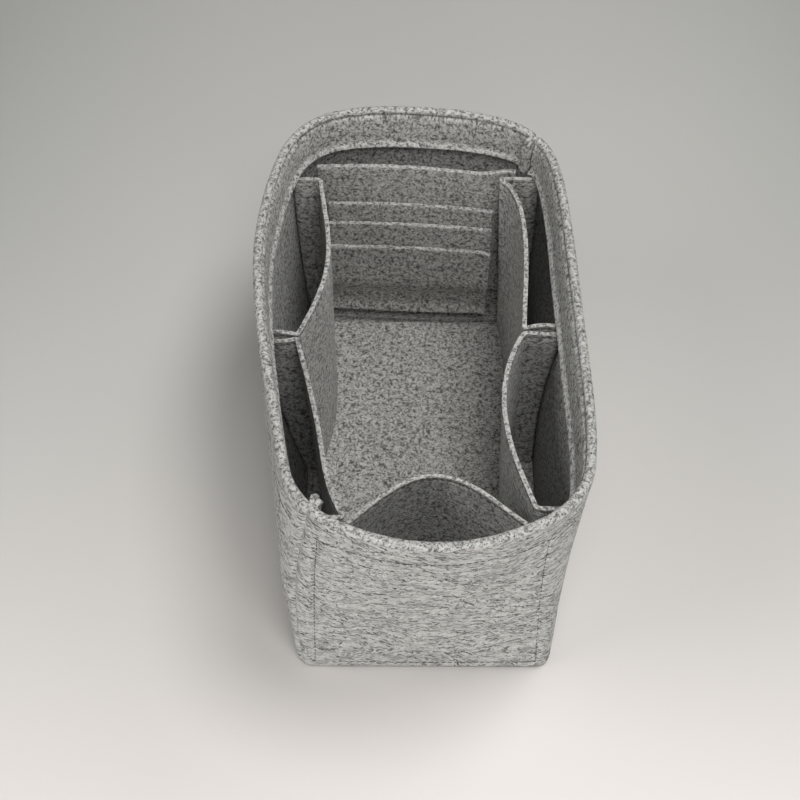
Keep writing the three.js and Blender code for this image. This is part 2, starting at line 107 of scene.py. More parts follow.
girth = sideEnds[-1]
cornerSigns = np.array(((-1, -1), (1, -1), (1, 1), (-1, 1)))
baseCorners = cornerSigns * (tub["width"] / 2, tub["length"] / 2)
rimShifts = np.array(tub["rimShifts"])
midShifts = np.array(tub["midShifts"])
sideBows = np.array(tub["bows"])
midBows = np.array(tub["midBows"])
bowSkews = math.log(0.5) / np.log(np.array(tub["bowPeaks"]))
bowPowers = np.array(tub["bowPowers"])


def lerp(a, b, t):
    return a + (b - a) * t


def smooth(x, low, high):
    t = np.clip((x - low) / (high - low), 0, 1)
    return t * t * (3 - 2 * t)


def bell(distance, width):
    return np.exp(-((distance / width) ** 2))


def sharpOutline(s, rise, swell):
    s = np.mod(s, girth)
    k = np.minimum(np.searchsorted(sideEnds, s), 3)
    t = 1 - (sideEnds[k] - s) / sideLengths[k]
    nextK = (k + 1) % 4
    start = baseCorners[k] + rimShifts[k] * rise[:, None] + midShifts[k] * swell[:, None]
    end = baseCorners[nextK] + rimShifts[nextK] * rise[:, None] + midShifts[nextK] * swell[:, None]
    along = end - start
    bow = rise * sideBows[k] * (1 - np.abs(2 * t ** bowSkews[k] - 1) ** bowPowers[k])
    bow = bow + swell * midBows[k] * (1 - (2 * t - 1) ** 2)
    outward = np.stack((along[:, 1], -along[:, 0]), 1) / np.linalg.norm(along, axis=1)[:, None]
    return start + along * t[:, None] + outward * bow[:, None]


def outline(s, z):
    rise = np.clip(z / tub["height"], 0, 1)
    swell = np.sin(math.pi * rise)
    reach = lerp(tub["floorReach"], tub["rimReach"], rise)
    count = tub["cornerSamples"]
    shares = [(2 * k + 1) / count - 1 for k in range(count)]
    return sum(sharpOutline(s + reach * share, rise, swell) for share in shares) / count


def wallPoint(s, z, depth):
    along = outline(s + mm, z) - outline(s - mm, z)
    along /= np.linalg.norm(along, axis=1)[:, None]
    inward = np.stack((-along[:, 1], along[:, 0]), 1)
    return outline(s, z) + inward * depth[:, None]


def wallXY(s, z, depth):
    return wallPoint(np.array([s]), np.array([z]), np.array([depth]))[0]


# felt sheets: a flat grid that is bent into place, then given the felt's thickness
sheet = {
    "stepGrowth": 0.3,                      # how fast the grid widens away from a fine place
    "broadWaver": (26 * mm, 0.22 * mm),     # the felt isn't quite even: how wide, how far
    "fineWaver": (5 * mm, 0.10 * mm),
    "edgeBevel": 0.55 * mm,
    "edgeSegments": 2,
    "edgeAngle": 55,
    "loft": "loft",                         # vertex group with the share of the felt's thickness
}


def gradedSteps(start, end, coarse, fineAt=(), fine=0):
    steps = [start]
    while steps[-1] < end:
        away = min((abs(steps[-1] - f) for f in fineAt), default=math.inf)
        steps.append(steps[-1] + min(coarse, max(fine, sheet["stepGrowth"] * away)))
    steps = np.array(steps)
    return start + (steps - start) * (end - start) / (steps[-1] - start)


def unevenness(co, seed):
    broad, broadDepth = sheet["broadWaver"]
    fine, fineDepth = sheet["fineWaver"]
    swell = noise.noise(co / broad + Vector((seed, 0, 0)))
    grain = noise.noise(co / fine + Vector((0, seed, 0)))
    return broadDepth * swell + fineDepth * grain


def addSheet(bm, us, vs, place, press, lookAt=None):
    uvLayer = bm.loops.layers.uv.verify()
    loft = bm.verts.layers.deform.verify()
    columns, rows = len(us) - 1, len(vs) - 1
    made = bmesh.ops.create_grid(bm, x_segments=columns, y_segments=rows, size=0.5)["verts"]
    flatU = np.array([us[round((v.co.x + 0.5) * columns)] for v in made])
    flatV = np.array([vs[round((v.co.y + 0.5) * rows)] for v in made])
    spots = place(flatU, flatV)
    weights = press(flatU, flatV)
    flat = {}
    for vert, spot, weight, u, v in zip(made, spots, weights, flatU, flatV):
        vert.co = spot
        vert[loft][0] = float(weight)
        flat[vert] = (u, v)
    for face in {f for v in made for f in v.link_faces}:
        face.smooth = True
        middle = sum(flat[v][1] for v in face.verts) / len(face.verts)
        face.material_index = lookAt(middle) if lookAt else 0
        for loop in face.loops:
            loop[uvLayer].uv = flat[loop.vert]


def finishSheet(name, bm, materials, seed, backOffset=0):
    bm.normal_update()
    moves = [v.normal * unevenness(v.co, seed) for v in bm.verts]
    for vert, move in zip(bm.verts, moves):
        vert.co += move
    mesh = bpy.data.meshes.new(name)
    bm.to_mesh(mesh)
    bm.free()
    piece = bpy.data.objects.new(name, mesh)
    scene.collection.objects.link(piece)
    piece.vertex_groups.new(name=sheet["loft"])
    for material in materials:
        mesh.materials.append(material)
    thicken = piece.modifiers.new("felt", "SOLIDIFY")
    thicken.thickness = felt
    thicken.offset = 0
    thicken.use_quality_normals = True
    thicken.vertex_group = sheet["loft"]
    thicken.material_offset = backOffset
    thicken.material_offset_rim = len(materials) - 1
    soften = piece.modifiers.new("cut edge", "BEVEL")
    soften.width = sheet["edgeBevel"]
    soften.segments = sheet["edgeSegments"]
    soften.limit_method = "ANGLE"
    soften.angle_limit = math.radians(sheet["edgeAngle"])
    return piece


def fullLoft(u, v):
    return np.ones(len(u))


# felt and thread: pale grey fibres with dark hairs needled in
feltLook = {
    "light": (0.56, 0.555, 0.53),
    "mid": (0.24, 0.238, 0.226),
    "dark": (0.03, 0.03, 0.028),
    "patch": (22.0, 0.3, 0.7),         # patches of hairs that sway together: how often, and their range
    "crowd": (0.34, 0.62),             # range over which hairs crowd into clusters
    "hairEdges": (0.25, 0.75),         # where a hair fades out, in shares of its width
    "hairEnds": (0.3, 0.55),           # and of its length
    "hairStrength": (0.2, 0.8),        # the least, and what chance adds
    "offsetSlant": 0.7,                # a row's offset across, against its offset along
    "speckNoise": (2.0, 0.7),          # detail and roughness
    "mottleNoise": (3.0, 0.65),
    "speckLight": (0.32, 0.64, 0.5),   # range, and how far it lightens the felt
    "mottleLight": (0.34, 0.66, 0.45),
    "relief": (0.8, -0.6),             # specks stand up, dark places lie lower
    "bumpDistance": 0.4 * mm,
    "roughness": 0.95,
    "specular": 0.1,
    "sheen": 0.12,
    "sheenRoughness": 0.5,
    "sheenTint": (0.9, 0.9, 0.88),
}
# each row of hairs: length, width, turn, spread of the turn, share of the cells that have one, offset
streaked = {
    "drift": (30.0, 8 * mm),           # how often and how far the fibres wander
    "wave": (520.0, 2.3 * mm),
    "sway": 0.9,                       # turn of whole patches of hairs
    "darkHairs": (
        (5.0 * mm, 0.65 * mm, 0.25, 0.5, 0.85, 0.0),
        (3.4 * mm, 0.65 * mm, 0.15, 0.7, 0.85, 0.31),
        (9.0 * mm, 0.7 * mm, 0.3, 0.35, 0.7, 0.77),
        (2.4 * mm, 0.65 * mm, 0.15, 0.9, 0.85, 1.31),
        (14.0 * mm, 0.7 * mm, 0.25, 0.3, 0.6, 2.31),
    ),
    "paleHairs": (
        (4.0 * mm, 0.8 * mm, 0.2, 0.6, 0.8, 0.53),
        (3.0 * mm, 0.7 * mm, 0.2, 0.8, 0.8, 1.77),
        (2.2 * mm, 0.7 * mm, 0.2, 0.8, 0.8, 2.77),
    ),
    "cluster": 45.0,                   # how often hairs crowd
    "spread": 0.2,                     # share of the hairs that lie outside the clusters
    "specks": (650.0, 1100.0, 1100.0),   # how often, along and across
    "mottle": (110.0, 320.0, 320.0),
    "pits": (0.28, 0.4),               # the lowest specks go dark
    "pitDarkness": 0.5,
    "clouds": (0.34, 0.46),            # and so does the lowest mottle
    "cloudDarkness": 0.25,
    "darkness": 1.0,                   # of the dark hairs
    "bump": 0.6,
    "gain": 1.0,
}
mottled = {
    "drift": (60.0, 5 * mm),
    "wave": (400.0, 2.0 * mm),
    "sway": 0.0,
    "darkHairs": (
        (2.1 * mm, 0.55 * mm, 0.2, 1.5, 0.75, 0.0),
        (1.7 * mm, 0.55 * mm, 0.2, 1.5, 0.75, 0.31),
        (3.2 * mm, 0.6 * mm, 0.2, 1.2, 0.5, 0.77),
    ),
    "paleHairs": (
        (2.4 * mm, 0.7 * mm, 0.25, 1.5, 0.7, 0.53),
        (3.0 * mm, 0.7 * mm, 0.25, 1.5, 0.6, 1.77),
    ),
    "cluster": 90.0,
    "spread": 0.5,
    "specks": (760.0, 760.0, 760.0),
    "mottle": (380.0, 380.0, 380.0),
    "pits": (0.3, 0.5),
    "pitDarkness": 0.8,
    "clouds": (0.32, 0.52),
    "cloudDarkness": 0.7,
    "darkness": 0.5,
    "bump": 0.7,
    # mottled felt is a little darker than the wall felt: painted shade of the inside of the tub
    "gain": 0.94,
}
cutEdge = {
    "drift": (60.0, 5 * mm),
    "wave": (400.0, 1.0 * mm),
    "darkHairs": (),
    "paleHairs": (),
    "specks": (760.0, 760.0, 760.0),
    "mottle": (540.0, 540.0, 540.0),
    "pits": (0.3, 0.48),
    "pitDarkness": 0.75,
    "clouds": (0.32, 0.5),
    "cloudDarkness": 0.75,
    "bump": 0.8,
    "gain": 1.0,
}


class NodeMaker:
    def __init__(self, name):
        self.material = bpy.data.materials.new(name)
        self.material.use_nodes = True
        self.tree = self.material.node_tree
        self.tree.nodes.clear()

    def add(self, kind, inputs=None, **settings):
        node = self.tree.nodes.new(kind)
        for key, value in settings.items():
            setattr(node, key, value)
        for key, value in (inputs or {}).items():
            if isinstance(value, bpy.types.NodeSocket):
                self.tree.links.new(value, node.inputs[key])
            else:
                node.inputs[key].default_value = value
        return node

    def math(self, operation, a, b=0.0, c=0.0):
        return self.add("ShaderNodeMath", {0: a, 1: b, 2: c}, operation=operation).outputs[0]

    def ramp(self, value, low, high):
        inputs = {0: value, 1: low, 2: high}
        return self.add("ShaderNodeMapRange", inputs, interpolation_type="SMOOTHSTEP").outputs[0]

    def mix(self, share, a, b):
        node = self.add("ShaderNodeMix", {0: share, 6: a, 7: b}, data_type="RGBA")
        return node.outputs[2]

    def noise(self, vector, scale, detail=2.0, rough=0.5, output="Fac"):
        inputs = {"Vector": vector, "Scale": scale, "Detail": detail, "Roughness": rough}
        return self.add("ShaderNodeTexNoise", inputs).outputs[output]

    def vector(self, operation, a, b, c=(0, 0, 0)):
        return self.add("ShaderNodeVectorMath", {0: a, 1: b, 2: c}, operation=operation).outputs[0]

    def wander(self, vector, often, far):
        drift = self.vector("SUBTRACT", self.noise(vector, often, 1.0, output="Color"), (0.5, 0.5, 0.5))
        return self.vector("MULTIPLY_ADD", drift, (far, far, far), vector)

    def fade(self, value, low, high):
        return self.math("SUBTRACT", 1.0, self.ramp(self.math("ABSOLUTE", value), low, high))

    def surface(self, inputs):
        shader = self.add("ShaderNodeBsdfPrincipled", inputs)
        self.add("ShaderNodeOutputMaterial", {"Surface": shader.outputs[0]})
        return self.material


def colour(rgb):
    return (*rgb, 1.0)


def feltHairs(n, bent, patch, settings, hair):
    # one short hair lies across each cell, turned its own way; in clusters more cells have one
    long, wide, turn, spread, share, move = hair
    spot = n.vector("ADD", bent, (move, move * feltLook["offsetSlant"], 0))
    cell = n.add("ShaderNodeTexVoronoi", {"Vector": spot, "Scale": 1 / long}, voronoi_dimensions="2D")
    lots = n.add("ShaderNodeSeparateColor", {0: cell.outputs["Color"]}).outputs
    away = n.vector("SUBTRACT", spot, cell.outputs["Position"])
    sway = n.math("MULTIPLY_ADD", patch, settings["sway"], turn - spread - settings["sway"] / 2)
    angle = n.math("MULTIPLY_ADD", lots[0], 2 * spread, sway)
    lie = n.add("ShaderNodeVectorRotate", {"Vector": away, "Angle": angle}, rotation_type="Z_AXIS")
    axes = n.add("ShaderNodeSeparateXYZ", {0: lie.outputs[0]}).outputs
    edges = n.fade(axes[1], *(wide * edge for edge in feltLook["hairEdges"]))
    ends = n.fade(axes[0], *(long * end for end in feltLook["hairEnds"]))
    crowd = n.ramp(n.noise(cell.outputs["Position"], settings["cluster"]), *feltLook["crowd"])
    alone = share * settings["spread"]
    kept = n.math("LESS_THAN", lots[2], n.math("MULTIPLY_ADD", crowd, share - alone, alone))
    least, chance = feltLook["hairStrength"]
    strength = n.math("MULTIPLY_ADD", lots[1], chance, least)
    return n.math("MULTIPLY", n.math("MULTIPLY", edges, ends), n.math("MULTIPLY", strength, kept))


def feltMaterial(name, coords, settings):
    n = NodeMaker(name)
    flat = n.add("ShaderNodeTexCoord").outputs[coords]
    bent = n.wander(n.wander(flat, *settings["drift"]), *settings["wave"])
    often, low, high = feltLook["patch"]
    patch = n.ramp(n.noise(flat, often, 1.0), low, high)
    specks = n.noise(n.vector("MULTIPLY", bent, settings["specks"]), 1.0, *feltLook["speckNoise"])
    mottle = n.noise(n.vector("MULTIPLY", bent, settings["mottle"]), 1.0, *feltLook["mottleNoise"])
    low, high, share = feltLook["mottleLight"]
    light = n.math("MULTIPLY", n.ramp(mottle, low, high), share)
    low, high, share = feltLook["speckLight"]
    light = n.math("MULTIPLY_ADD", n.ramp(specks, low, high), share, light)
    pits = n.math("MULTIPLY", n.fade(specks, *settings["pits"]), settings["pitDarkness"])
    clouds = n.math("MULTIPLY", n.fade(mottle, *settings["clouds"]), settings["cloudDarkness"])
    gloom = n.math("MAXIMUM", pits, clouds)
    for hair in settings["paleHairs"]:
        light = n.math("MAXIMUM", light, feltHairs(n, bent, patch, settings, hair))
    for hair in settings["darkHairs"]:
        dark = n.math("MULTIPLY", feltHairs(n, bent, patch, settings, hair), settings["darkness"])
        gloom = n.math("MAXIMUM", gloom, dark)
    midTone, lightTone = (colour([c * settings["gain"] for c in feltLook[tone]])
                          for tone in ("mid", "light"))
    shade = n.mix(gloom, n.mix(light, midTone, lightTone), colour(feltLook["dark"]))
    raised, sunk = feltLook["relief"]
    height = n.math("MULTIPLY_ADD", gloom, sunk, n.math("MULTIPLY", specks, raised))
    bump = n.add("ShaderNodeBump", {
        "Strength": settings["bump"], "Distance": feltLook["bumpDistance"], "Height": height})
    return n.surface({
        "Base Color": shade, "Normal": bump.outputs[0],
        "Roughness": feltLook["roughness"], "Specular IOR Level": feltLook["specular"],
        "Sheen Weight": feltLook["sheen"], "Sheen Roughness": feltLook["sheenRoughness"],
        "Sheen Tint": colour(feltLook["sheenTint"])})


wallFelt = feltMaterial("streakedFelt", "UV", streaked)
# the mottled felt goes inside the tub; its lower gain is painted shade
pocketFelt = feltMaterial("mottledFelt", "UV", mottled)
cutFelt = feltMaterial("cutFelt", "Object", cutEdge)


# the thread's grey is painted near black, darker than the felt, as shade of the groove and needle holes
# it sinks into
threadLook = {
    "dark": (0.05, 0.05, 0.048),
    "light": (0.13, 0.13, 0.125),
    "twist": 3500.0,
    "bump": 0.4,
    "bumpDistance": 0.1 * mm,
    "roughness": 0.7,
    "specular": 0.3,
}


def threadMaterial():
    n = NodeMaker("threadPaintedDark")
    spot = n.add("ShaderNodeTexCoord").outputs["Object"]
    twist = n.noise(spot, threadLook["twist"], 1.0)
    shade = n.mix(twist, colour(threadLook["dark"]), colour(threadLook["light"]))
    bump = n.add("ShaderNodeBump", {
        "Strength": threadLook["bump"], "Distance": threadLook["bumpDistance"], "Height": twist})
    return n.surface({
        "Base Color": shade, "Normal": bump.outputs[0],
        "Roughness": threadLook["roughness"], "Specular IOR Level": threadLook["specular"]})


thread = threadMaterial()
print("felt and thread materials made")


# sewing: rows of short stitches that lie in the groove they press into the felt
stitch = {
    "pitch": 3.2 * mm,
    "length": 2.7 * mm,
    "width": 0.7 * mm,
    "height": 0.4 * mm,
    "proud": 0.05 * mm,    # middle of the thread over the bottom of its groove
    "groove": 0.9 * mm,
    "sides": 6,
    "rings": 5,
    "probe": 0.4 * mm,     # step along the felt that finds which way it faces
}


def surfacePoints(place, us, vs, side, press):
    step = stitch["probe"]
    middle = place(us, vs)
    across = place(us + step, vs) - place(us - step, vs)
    up = place(us, vs + step) - place(us, vs - step)
    normals = np.cross(across, up)
    normals /= np.linalg.norm(normals, axis=1)[:, None]
    return middle + normals * side * (felt / 2 * (1 - press) + stitch["proud"]), normals * side


def addStitches(bm, place, us, vs, press, side=1):
    row = bmesh.new()
    points, normals = surfacePoints(place, us, vs, side, press)
    reach = np.concatenate(([0], np.cumsum(np.linalg.norm(np.diff(points, axis=0), axis=1))))
    for k in range(int(reach[-1] / stitch["pitch"])):
        middle = (k + 0.5) * stitch["pitch"]
        ends = [Vector([np.interp(middle + d, reach, points[:, c]) for c in range(3)])
                for d in (-stitch["length"] / 2, stitch["length"] / 2)]
        normal = Vector([np.interp(middle, reach, normals[:, c]) for c in range(3)])
        along = (ends[1] - ends[0]).normalized()
        across = normal.cross(along).normalized()
        normal = along.cross(across)
        turn = Matrix((along, across, normal)).transposed().to_4x4()
        size = Matrix.Diagonal((stitch["length"] / 2, stitch["width"] / 2, stitch["height"] / 2, 1))
        spot = Matrix.Translation((ends[0] + ends[1]) / 2)
        bmesh.ops.create_uvsphere(row, u_segments=stitch["sides"], v_segments=stitch["rings"], radius=1,
                                  matrix=spot @ turn @ size)
    sewn = bpy.data.meshes.new("row")
    row.to_mesh(sewn)
    row.free()
    bm.from_mesh(sewn)
    bpy.data.meshes.remove(sewn)


def finishStitches(name, bm):
    for face in bm.faces:
        face.smooth = True
    mesh = bpy.data.meshes.new(name)
    bm.to_mesh(mesh)
    bm.free()
    mesh.materials.append(thread)
    piece = bpy.data.objects.new(name, mesh)
    scene.collection.objects.link(piece)
    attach(piece, "root")


def hold(piece, node):
    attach(piece, "root")
    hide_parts(node)


# wall panels with their folded hem
wall = {
    "hemDepth": 22 * mm,
    "edgeRow": 3.4 * mm,       # stitch row on the inside, below the rim crest
    "edgePress": 0.5,          # share of the felt's thickness that the row presses down
    "edgeGroove": 1.4 * mm,    # it draws the hem to the wall and leaves a round crest
    "lowerRow": 17.5 * mm,     # row on the outside, below the rim crest
    "lowerPress": 0.16,
    "bottomRow": 5.5 * mm,     # row that holds the base, above the floor
    "bottomPress": 0.22,
    "pocketRowStart": 1 * mm,  # rows that hold the pockets: from over the bottom row
    "pocketRowStop": 16 * mm,  # to below the rim
    "pocketRowPress": 0.45,
    "frontLeftBend": 3 * mm,   # the front left row bends away from its seam
    "rowEnds": 3 * mm,         # rows along the wall stop short of the seams
    "rowSample": 1.5 * mm,
    "leastLoft": 0.45,         # rows that cross don't press the felt thinner than this share
    "hemFlare": 0.7 * mm,      # the hem stands off a little towards its cut edge
    "lipFlare": 1.7 * mm,      # and its last few millimetres curl
    "lipReach": 3 * mm,
    "lipEdge": 1.6 * mm,       # cut felt shows along the lip
    "crestEdge": 0.5 * mm,     # and on the crest, from just below its bend
    "hemPuff": 0.5 * mm,       # the hem swells between its rows
    "bottomTuck": 0.9 * mm,    # the lower edge turns in
    "bottomReach": 3 * mm,
    "bottomLift": 0.8 * mm,    # and is clear of the floor
    "seamGap": 0.15 * mm,
    "seamTurn": 7 * mm,        # felt turned in at each seam
    "seamGroove": 1.5 * mm,
    "seamWidth": 1.7 * mm,
    "seamLean": (0.5 * mm, 6.6 * mm),   # front left seam along the wall, at the floor and at the rim
    "leanReach": 30 * mm,
    "tuckDepth": 5 * mm,       # turned-in seam edges, standing in past the hem
    "tuckOverlap": 0.8 * mm,   # with their roots in the hem
    "tuckLoft": 0.8,
    "tuckTop": 6 * mm,         # height over which their tops bend
    "tuckCurl": 1.6 * mm,
    "ridgeGap": 3.6 * mm,      # hem short of the back right tucks, on the right
    "ridgeGapReach": 7 * mm,
    "ridgeGapRise": 2 * mm,    # it begins just past the crest
    "foldGap": 0.1 * mm,
    "step": 2.2 * mm,          # grid, and how fine it is at seams, at rows and on the tucks
    "seamStep": 0.6 * mm,
    "rowStep": 0.55 * mm,
    "tuckSteps": (0.7 * mm, 1.0 * mm),
}
# the tucks' tops: over the rim, drop of the inner end, opening, lean along the wall, extra thickness
frontTuck = {"top": 0.8 * mm, "drop": 1.2 * mm, "open": 1.4 * mm, "lean": -2.2 * mm, "puff": 0.4}
backTuck = {"top": -1.2 * mm, "drop": 2.5 * mm, "open": 0, "lean": 0.8 * mm, "puff": 0.1}
# places along the section: up the wall, over the crest and down the hem
crestRadius = felt / 2 + wall["foldGap"] / 2
crestHeight = tub["height"] - felt / 2 - crestRadius
crestLength = math.pi * crestRadius
hemStart = crestHeight + crestLength
hemLength = crestHeight - (tub["height"] - wall["hemDepth"])
wallLength = hemStart + hemLength
edgeRowPlace = hemStart + crestHeight - (tub["height"] - wall["edgeRow"])
wallRows = [
    (wall["bottomRow"], wall["bottomPress"]),
    (tub["height"] - wall["lowerRow"], wall["lowerPress"]),
    (edgeRowPlace, wall["edgePress"]),
]
seams = (0.0, tub["width"] + tub["length"], girth)


def wallSection(v):
    turn = np.clip((v - crestHeight) / crestRadius, 0, math.pi)
    down = np.clip(v - hemStart, 0, None)
    depth = felt / 2 + crestRadius * (1 - np.cos(turn))
    z = np.minimum(v, crestHeight) + crestRadius * np.sin(turn) - down
    rowDown = wall["lowerRow"] - (tub["height"] - crestHeight)
    depth = depth + wall["hemFlare"] * smooth(down, 0, hemLength)
    depth = depth + wall["lipFlare"] * smooth(down, hemLength - wall["lipReach"], hemLength)
    depth = depth + wall["hemPuff"] * np.sin(math.pi * np.clip(down / rowDown, 0, 1))
    depth = depth + wall["bottomTuck"] * np.clip(1 - v / wall["bottomReach"], 0, 1) ** 2
    depth = depth - wall["edgeGroove"] * bell(v - edgeRowPlace, stitch["groove"])
    return depth, z


def placeWall(s, v):
    depth, z = wallSection(v)
    toSeam = np.min([np.abs(s - seam) for seam in seams], axis=0)
    depth = depth + wall["seamGroove"] * bell(toSeam, wall["seamWidth"])
    toRidge = seams[1] - s
    beside = np.where(toRidge > 0, bell(toRidge, wall["ridgeGapReach"]), 0)
    s = s - wall["ridgeGap"] * beside * smooth(v, hemStart, hemStart + wall["ridgeGapRise"])
    toFrontSeam = np.minimum(np.abs(s), np.abs(s - girth))
    lean = lerp(*wall["seamLean"], z / tub["height"]) * bell(toFrontSeam, wall["leanReach"])
    xy = wallPoint(s + lean, z, depth)
    return np.column_stack((xy, z))


def sideStation(side, y):
    return tub["width"] + tub["length"] / 2 + y if side > 0 else girth - tub["length"] / 2 - y


# upright rows that hold the pockets: place along the wall at the floor and at the top
pleatPlaces = {"left": -1.6 * mm, "right": 3.6 * mm}
pocketRows = {
    "frontLeft": (8.6 * mm, 8.0 * mm),
    "frontRight": (118.5 * mm, 111.5 * mm),
    "rightRear": (sideStation(1, 101 * mm), sideStation(1, 112 * mm)),
    "rightPleat": (sideStation(1, pleatPlaces["right"]), sideStation(1, pleatPlaces["right"])),
    "rightFront": (sideStation(1, -105 * mm), sideStation(1, -108 * mm)),
    "leftRear": (sideStation(-1, 101 * mm), sideStation(-1, 111 * mm)),
    "leftPleat": (sideStation(-1, pleatPlaces["left"]), sideStation(-1, pleatPlaces["left"])),
    "leftFront": (sideStation(-1, -103 * mm), sideStation(-1, -103 * mm)),
}
pocketRowTop = tub["height"] - wall["pocketRowStop"]


def rowStation(row, v):
    t = v / pocketRowTop
    bend = wall["frontLeftBend"] if row == "frontLeft" else 0
    return lerp(*pocketRows[row], t) + bend * 4 * t * (1 - t)


def pressWall(s, v):
    weight = np.ones(len(s))
    for row, press in wallRows:
        weight -= press * bell(v - row, stitch["groove"])
    inRange = (v > wall["bottomRow"]) & (v < pocketRowTop)
    for row in pocketRows:
        weight -= inRange * wall["pocketRowPress"] * bell(s - rowStation(row, v), stitch["groove"])
    return np.clip(weight, wall["leastLoft"], 1)


def wallLook(v):
    # streaked outside, mottled inside, cut felt on the crest and along the lip
    if v < crestHeight - wall["crestEdge"]:
        return 0
    isCut = v < edgeRowPlace or v > wallLength - wall["lipEdge"]
    return 2 if isCut else 1


def seamTuck(seam, side):
    tuck = backTuck if seam == seams[1] else frontTuck
    root = 2 * felt - wall["tuckOverlap"]
    tip = 2 * felt + wall["tuckDepth"]
    low = tub["height"] - wall["hemDepth"]
    high = tub["height"] + tuck["top"]
    apart = wall["tuckLoft"] * felt / 2 + wall["seamGap"]
    lean = wall["seamLean"][1] * bell(min(abs(seam), abs(seam - girth)), wall["leanReach"])

    def share(u, v):
        return (u - root) / (tip - root), smooth(v, high - wall["tuckTop"], high)

    def place(u, v):
        out, top = share(u, v)
        depth = u - wall["tuckCurl"] * top ** 3 * out
        z = v - tuck["drop"] * top * out ** 3
        line = seam + side * (apart + tuck["open"] * top * out) + tuck["lean"] * out
        return np.column_stack((wallPoint(line + lean, z, depth), z))

    def press(u, v):
        out, top = share(u, v)
        return wall["tuckLoft"] + tuck["puff"] * top * out

    acrossStep, upStep = wall["tuckSteps"]
    return gradedSteps(root, tip, acrossStep), gradedSteps(low, high, upStep), place, press


def makeWall(name, start, end, node, seed):
    bm = bmesh.new()
    ownRows = [row for row, ends in pocketRows.items() if start < ends[0] < end]
    fineColumns = [start, end] + [s for row in ownRows for s in pocketRows[row]]
    gap = wall["seamGap"]
    us = gradedSteps(start + gap, end - gap, wall["step"], fineColumns, wall["seamStep"])
    fineRows = [row for row, press in wallRows] + [crestHeight + crestLength / 2, wallLength]
    vs = gradedSteps(wall["bottomLift"], wallLength, wall["step"], fineRows, wall["rowStep"])
    addSheet(bm, us, vs, placeWall, pressWall, wallLook)
    for seam, side in ((start, 1), (end, -1)):
        tuckUs, tuckVs, placeTuck, pressTuck = seamTuck(seam, side)
        addSheet(bm, tuckUs, tuckVs, placeTuck, pressTuck, lambda v: 1)
    piece = finishSheet(name, bm, (wallFelt, pocketFelt, cutFelt), seed, backOffset=1)
    hold(piece, node)
    rows = bmesh.new()
    stops = np.arange(start + wall["rowEnds"], end - wall["rowEnds"], wall["rowSample"])
    for row, press in wallRows:
        addStitches(rows, placeWall, stops, np.full(len(stops), row), press)
    heights = np.arange(wall["bottomRow"] + wall["pocketRowStart"], pocketRowTop, wall["rowSample"])
    for row in ownRows:
        addStitches(rows, placeWall, rowStation(row, heights), heights, wall["pocketRowPress"])
    finishStitches(name + "_thread", rows)


makeWall("front_right_wall", seams[0], seams[1], "wall_front_right", seed=3)
makeWall("left_back_wall", seams[1], seams[2], "wall_left_back", seed=7)
print("wall panels made")


# pleated strips, the front pocket and their run seen from above
pocket = {
    "foldReach": 3.0 * mm,     # rounding of a fold along the run
    "foldShare": 0.48,         # at most this share of the way to the next stop
    "foldSteps": 8,
    "bowSteps": 24,
    "layerStops": (0.15, 0.85, 8),   # places along each layer of a pleat: first, last and count
    "foot": 6 * mm,
    "clearance": 0.5 * mm,     # off the wall
    "topRow": 2.3 * mm,        # stitch row below the top edge
    "topPress": 0.3,
    "loft": 0.88,              # pocket felt is a little thinner than the walls
    "waver": 0.5 * mm,         # top edges aren't quite level
    "waverLength": 35 * mm,
    "waverStart": 30 * mm,     # above the lower edge
    "rearFoldLine": 21.3 * mm,   # in from the back wall at the floor
    "rearFoldLean": 8.6 * mm,    # and back from there at the top
    "pleatEye": 1.2 * mm,      # half of the opening where a pleat meets the wall
    "wallTries": 4,
    "levels": 14,              # heights at which the run is worked out
    "levelMargin": 3 * mm,     # past the edges
    "step": 1.8 * mm,          # grid along the run and up, and how fine it is at folds and at rows
    "upStep": 2.2 * mm,
    "foldStep": 0.5 * mm,
    "rowStep": 0.55 * mm,
    "tightStretch": 1.2 * mm,  # stretches of the run shorter than this are folds
    "rowEnds": 2 * mm,
    "rowSample": 1.0 * mm,
}
leftStrip = {
    "side": -1,
    "rearFold": (7.9 * mm, 6.1 * mm),      # in from the wall line, at the floor and at the top
    "rearSetBack": (0, 0),
    "pleat": (7.7 * mm, -3.2 * mm),
    "pleatPlace": pleatPlaces["left"],
    "frontFold": (15.5 * mm, 20.9 * mm),
    "rearBow": (6.5 * mm, 9.8 * mm),
    "rearBowPeak": 0.56,
    "frontBow": (0, -3 * mm),
    "frontBowPeak": 0.8,
    "frontClearance": 0,
    "pleatBulge": (1.0 * mm, -0.9 * mm),   # rear and front layer
}
rightStrip = {
    "side": 1,
    "rearFold": (15.2 * mm, 21 * mm),
    "rearSetBack": (0, 2 * mm),
    "pleat": (13 * mm, 12.7 * mm),
    "pleatPlace": pleatPlaces["right"],
    "frontFold": (14.5 * mm, 12.5 * mm),
    "rearBow": (-2 * mm, -8.9 * mm),
    "rearBowPeak": 0.3,
    "frontBow": (6 * mm, 12 * mm),
    "frontBowPeak": 0.44,
    "frontClearance": 8 * mm,
    "pleatBulge": (1.6 * mm, 0),
}
frontArch = {
    "reach": 37.6 * mm,        # of its middle, from the front of the base
    "leftInset": 13 * mm,
    "rightInset": 10.4 * mm,
    "power": 1.38,
    "endSlope": 1.45,          # strips keep off it by the felt's thickness along this slope
    "steps": 60,
}
padTop = 2 * felt + layerGap
stripLow = padTop + 2 * layerGap
stripHigh = tub["height"] - wall["hemDepth"] - 2 * layerGap
innerX = tub["width"] / 2 - felt
innerY = tub["length"] / 2 - felt
sewnDepth = 1.5 * felt + pocket["clearance"]


def atHeight(pair, z):
    return lerp(pair[0], pair[1], (z - stripLow) / (stripHigh - stripLow))


def rearFoldY(z):
    return innerY - pocket["rearFoldLine"] + atHeight((0, pocket["rearFoldLean"]), z)


def foldX(strip, fold, z):
    return strip["side"] * (innerX - atHeight(strip[fold], z))


